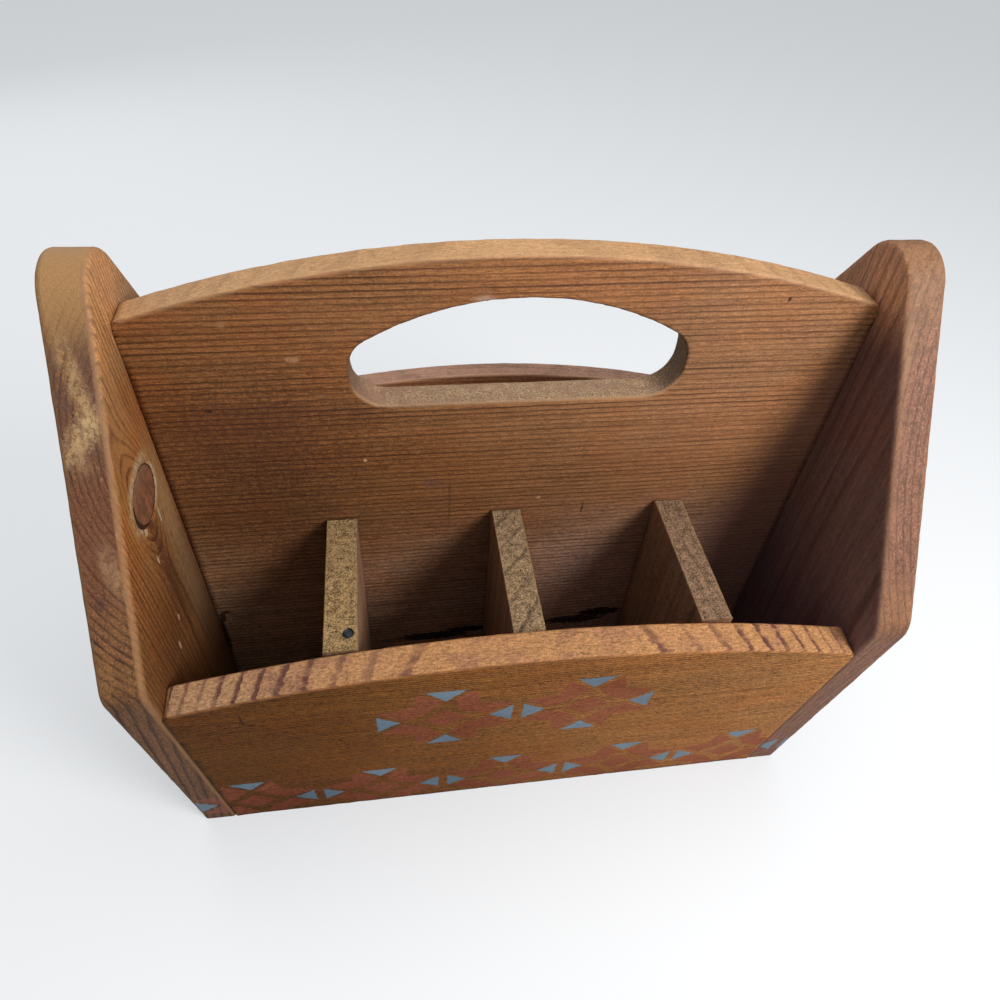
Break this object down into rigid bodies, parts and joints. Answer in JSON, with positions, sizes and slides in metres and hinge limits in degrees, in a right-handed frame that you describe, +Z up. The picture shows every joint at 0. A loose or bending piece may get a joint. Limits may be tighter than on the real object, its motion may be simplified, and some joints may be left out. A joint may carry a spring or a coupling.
{
  "type": "mail sorter",
  "caption": "Pine desk mail sorter: shaped side panels, an upright centre board with a hand hole, low leaning boards front and back, and dividers that make letter compartments at the front.",
  "frame": {"origin": "on the surface that the sorter stands on, under the middle of the centre board", "axes": "+Z up, -Y towards the front with the letter compartments, +X to the right seen from the front"},
  "size_m": [0.29, 0.1681, 0.2552],
  "materials": {
    "pine_side": "oiled and worn pine",
    "pine_centre": "oiled pine with close rings",
    "pine_front": "oiled pine with a stencilled pattern",
    "pine_back": "oiled pine",
    "pine_bottom": "dull pine",
    "pine_divider": "rough sawn pine",
    "nail_steel": "darkened steel"
  },
  "bodies": {
    "root": {"left_side_panel": "pine_side", "right_side_panel": "pine_side", "centre_board": "pine_centre", "front_board": "pine_front", "back_board": "pine_back", "bottom_board": "pine_bottom", "divider_left": "pine_divider", "divider_middle": "pine_divider", "divider_right": "pine_divider", "nail_left_front_1": "nail_steel", "nail_left_front_2": "nail_steel", "nail_left_front_3": "nail_steel", "nail_left_back_1": "nail_steel", "nail_left_back_2": "nail_steel", "nail_left_back_3": "nail_steel", "nail_left_centre_1": "nail_steel", "nail_left_centre_2": "nail_steel", "nail_left_centre_3": "nail_steel", "nail_left_bottom_1": "nail_steel", "nail_left_bottom_2": "nail_steel", "nail_right_front_1": "nail_steel", "nail_right_front_2": "nail_steel", "nail_right_front_3": "nail_steel", "nail_right_back_1": "nail_steel", "nail_right_back_2": "nail_steel", "nail_right_back_3": "nail_steel", "nail_right_centre_1": "nail_steel", "nail_right_centre_2": "nail_steel", "nail_right_centre_3": "nail_steel", "nail_right_bottom_1": "nail_steel", "nail_right_bottom_2": "nail_steel", "nail_divider_left_1": "nail_steel", "nail_divider_left_2": "nail_steel", "nail_divider_middle_1": "nail_steel", "nail_divider_middle_2": "nail_steel", "nail_divider_right_1": "nail_steel", "nail_divider_right_2": "nail_steel", "brad_divider_left": "nail_steel"}
  },
  "joints": []
}
